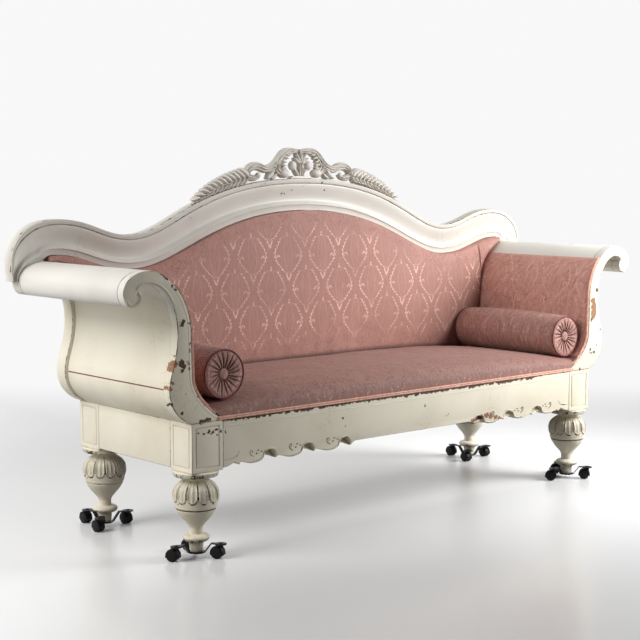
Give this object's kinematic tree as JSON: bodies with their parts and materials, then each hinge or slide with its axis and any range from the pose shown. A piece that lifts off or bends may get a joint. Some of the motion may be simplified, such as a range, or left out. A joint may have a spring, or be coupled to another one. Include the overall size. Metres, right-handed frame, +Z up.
{
  "type": "sofa",
  "caption": "White-painted scroll-arm sofa with a carved crest on a serpentine back, rose damask upholstery, loose bolsters and turned feet on black castor dollies.",
  "frame": {"origin": "on the floor, under the middle of the sofa's box", "axes": "+X along the sofa to the right as seen from its front, +Y towards the back, +Z up"},
  "size_m": [2.188, 0.6438, 1.149],
  "materials": {
    "cream_paint": "old cream paint, worn through to brown wood at the edges",
    "rose_damask": "dusty rose damask with a paler ogee pattern",
    "black_steel": "black painted steel",
    "black_plastic": "black moulded plastic",
    "jute_webbing": "woven jute",
    "linen_lining": "plain linen"
  },
  "bodies": {
    "sofa": {"arm_front_scroll_left": "cream_paint", "arm_front_scroll_right": "cream_paint", "arm_lower_board_left": "cream_paint", "arm_lower_board_right": "cream_paint", "arm_pad_left": "rose_damask", "arm_pad_right": "rose_damask", "arm_rear_scroll_left": "cream_paint", "arm_rear_scroll_right": "cream_paint", "arm_roll_left": "cream_paint", "arm_roll_right": "cream_paint", "arm_side_panel_left": "cream_paint", "arm_side_panel_right": "cream_paint", "back_frame": "cream_paint", "back_lining": "linen_lining", "back_pad": "rose_damask", "corner_block_front_left": "cream_paint", "corner_block_front_right": "cream_paint", "corner_block_rear_left": "cream_paint", "corner_block_rear_right": "cream_paint", "crest_carving": "cream_paint", "dolly_front_left": "black_steel", "dolly_front_right": "black_steel", "dolly_rear_left": "black_steel", "dolly_rear_right": "black_steel", "end_rail_left": "cream_paint", "end_rail_right": "cream_paint", "foot_front_left": "cream_paint", "foot_front_right": "cream_paint", "foot_rear_left": "cream_paint", "foot_rear_right": "cream_paint", "front_rail": "cream_paint", "rear_rail": "cream_paint", "seat_pad": "rose_damask", "seat_webbing": "jute_webbing"},
    "castor_front_left_1": {"castor_front_left_1": "black_plastic"},
    "wheels_front_left_1": {"wheels_front_left_1": "black_plastic"},
    "castor_front_left_2": {"castor_front_left_2": "black_plastic"},
    "wheels_front_left_2": {"wheels_front_left_2": "black_plastic"},
    "castor_front_left_3": {"castor_front_left_3": "black_plastic"},
    "wheels_front_left_3": {"wheels_front_left_3": "black_plastic"},
    "castor_front_right_1": {"castor_front_right_1": "black_plastic"},
    "wheels_front_right_1": {"wheels_front_right_1": "black_plastic"},
    "castor_front_right_2": {"castor_front_right_2": "black_plastic"},
    "wheels_front_right_2": {"wheels_front_right_2": "black_plastic"},
    "castor_front_right_3": {"castor_front_right_3": "black_plastic"},
    "wheels_front_right_3": {"wheels_front_right_3": "black_plastic"},
    "castor_rear_left_1": {"castor_rear_left_1": "black_plastic"},
    "wheels_rear_left_1": {"wheels_rear_left_1": "black_plastic"},
    "castor_rear_left_2": {"castor_rear_left_2": "black_plastic"},
    "wheels_rear_left_2": {"wheels_rear_left_2": "black_plastic"},
    "castor_rear_left_3": {"castor_rear_left_3": "black_plastic"},
    "wheels_rear_left_3": {"wheels_rear_left_3": "black_plastic"},
    "castor_rear_right_1": {"castor_rear_right_1": "black_plastic"},
    "wheels_rear_right_1": {"wheels_rear_right_1": "black_plastic"},
    "castor_rear_right_2": {"castor_rear_right_2": "black_plastic"},
    "wheels_rear_right_2": {"wheels_rear_right_2": "black_plastic"},
    "castor_rear_right_3": {"castor_rear_right_3": "black_plastic"},
    "wheels_rear_right_3": {"wheels_rear_right_3": "black_plastic"},
    "bolster_left": {"bolster_left": "rose_damask"},
    "bolster_right": {"bolster_right": "rose_damask"}
  },
  "joints": [
    {"name": "swivel_front_left_1", "type": "hinge", "parent": "sofa", "child": "castor_front_left_1", "pos_m": [-0.87733, -0.24884, 0], "axis": [0, 0, 1], "continuous": true},
    {"name": "roll_front_left_1", "type": "hinge", "parent": "castor_front_left_1", "child": "wheels_front_left_1", "pos_m": [-0.88236, -0.24078, 0.01667], "axis": [-0.848, -0.5299, 0], "continuous": true},
    {"name": "swivel_front_left_2", "type": "hinge", "parent": "sofa", "child": "castor_front_left_2", "pos_m": [-0.76524, -0.30351, 0], "axis": [0, 0, 1], "continuous": true},
    {"name": "roll_front_left_2", "type": "hinge", "parent": "castor_front_left_2", "child": "wheels_front_left_2", "pos_m": [-0.77027, -0.29545, 0.01667], "axis": [-0.848, -0.5299, 0], "continuous": true},
    {"name": "swivel_front_left_3", "type": "hinge", "parent": "sofa", "child": "castor_front_left_3", "pos_m": [-0.77394, -0.1791, 0], "axis": [0, 0, 1], "continuous": true},
    {"name": "roll_front_left_3", "type": "hinge", "parent": "castor_front_left_3", "child": "wheels_front_left_3", "pos_m": [-0.77897, -0.17105, 0.01667], "axis": [-0.848, -0.5299, 0], "continuous": true},
    {"name": "swivel_front_right_1", "type": "hinge", "parent": "sofa", "child": "castor_front_right_1", "pos_m": [0.73354, -0.24633, 0], "axis": [0, 0, 1], "continuous": true},
    {"name": "roll_front_right_1", "type": "hinge", "parent": "castor_front_right_1", "child": "wheels_front_right_1", "pos_m": [0.7281, -0.23855, 0.01667], "axis": [-0.8192, -0.5736, 0], "continuous": true},
    {"name": "swivel_front_right_2", "type": "hinge", "parent": "sofa", "child": "castor_front_right_2", "pos_m": [0.84365, -0.30488, 0], "axis": [0, 0, 1], "continuous": true},
    {"name": "roll_front_right_2", "type": "hinge", "parent": "castor_front_right_2", "child": "wheels_front_right_2", "pos_m": [0.8382, -0.29709, 0.01667], "axis": [-0.8192, -0.5736, 0], "continuous": true},
    {"name": "swivel_front_right_3", "type": "hinge", "parent": "sofa", "child": "castor_front_right_3", "pos_m": [0.8393, -0.18024, 0], "axis": [0, 0, 1], "continuous": true},
    {"name": "roll_front_right_3", "type": "hinge", "parent": "castor_front_right_3", "child": "wheels_front_right_3", "pos_m": [0.83385, -0.17246, 0.01667], "axis": [-0.8192, -0.5736, 0], "continuous": true},
    {"name": "swivel_rear_left_1", "type": "hinge", "parent": "sofa", "child": "castor_rear_left_1", "pos_m": [-0.82413, 0.29113, 0], "axis": [0, 0, 1], "continuous": true},
    {"name": "roll_rear_left_1", "type": "hinge", "parent": "castor_rear_left_1", "child": "wheels_rear_left_1", "pos_m": [-0.82447, 0.30063, 0.01667], "axis": [-0.9994, -0.0349, 0], "continuous": true},
    {"name": "swivel_rear_left_2", "type": "hinge", "parent": "sofa", "child": "castor_rear_left_2", "pos_m": [-0.85641, 0.17067, 0], "axis": [0, 0, 1], "continuous": true},
    {"name": "roll_rear_left_2", "type": "hinge", "parent": "castor_rear_left_2", "child": "wheels_rear_left_2", "pos_m": [-0.85674, 0.18017, 0.01667], "axis": [-0.9994, -0.0349, 0], "continuous": true},
    {"name": "swivel_rear_left_3", "type": "hinge", "parent": "sofa", "child": "castor_rear_left_3", "pos_m": [-0.73595, 0.20295, 0], "axis": [0, 0, 1], "continuous": true},
    {"name": "roll_rear_left_3", "type": "hinge", "parent": "castor_rear_left_3", "child": "wheels_rear_left_3", "pos_m": [-0.73628, 0.21244, 0.01667], "axis": [-0.9994, -0.0349, 0], "continuous": true},
    {"name": "swivel_rear_right_1", "type": "hinge", "parent": "sofa", "child": "castor_rear_right_1", "pos_m": [0.793, 0.29249, 0], "axis": [0, 0, 1], "continuous": true},
    {"name": "roll_rear_right_1", "type": "hinge", "parent": "castor_rear_right_1", "child": "wheels_rear_right_1", "pos_m": [0.79333, 0.30199, 0.01667], "axis": [-0.9994, 0.0349, 0], "continuous": true},
    {"name": "swivel_rear_right_2", "type": "hinge", "parent": "sofa", "child": "castor_rear_right_2", "pos_m": [0.75035, 0.1753, 0], "axis": [0, 0, 1], "continuous": true},
    {"name": "roll_rear_right_2", "type": "hinge", "parent": "castor_rear_right_2", "child": "wheels_rear_right_2", "pos_m": [0.75068, 0.1848, 0.01667], "axis": [-0.9994, 0.0349, 0], "continuous": true},
    {"name": "swivel_rear_right_3", "type": "hinge", "parent": "sofa", "child": "castor_rear_right_3", "pos_m": [0.87316, 0.19696, 0], "axis": [0, 0, 1], "continuous": true},
    {"name": "roll_rear_right_3", "type": "hinge", "parent": "castor_rear_right_3", "child": "wheels_rear_right_3", "pos_m": [0.87349, 0.20645, 0.01667], "axis": [-0.9994, 0.0349, 0], "continuous": true},
    {"name": "lift_bolster_left", "type": "slide", "parent": "sofa", "child": "bolster_left", "axis": [0, 0, 1], "range_m": [0, 0.25]},
    {"name": "lift_bolster_right", "type": "slide", "parent": "sofa", "child": "bolster_right", "axis": [0, 0, 1], "range_m": [0, 0.25]}
  ]
}
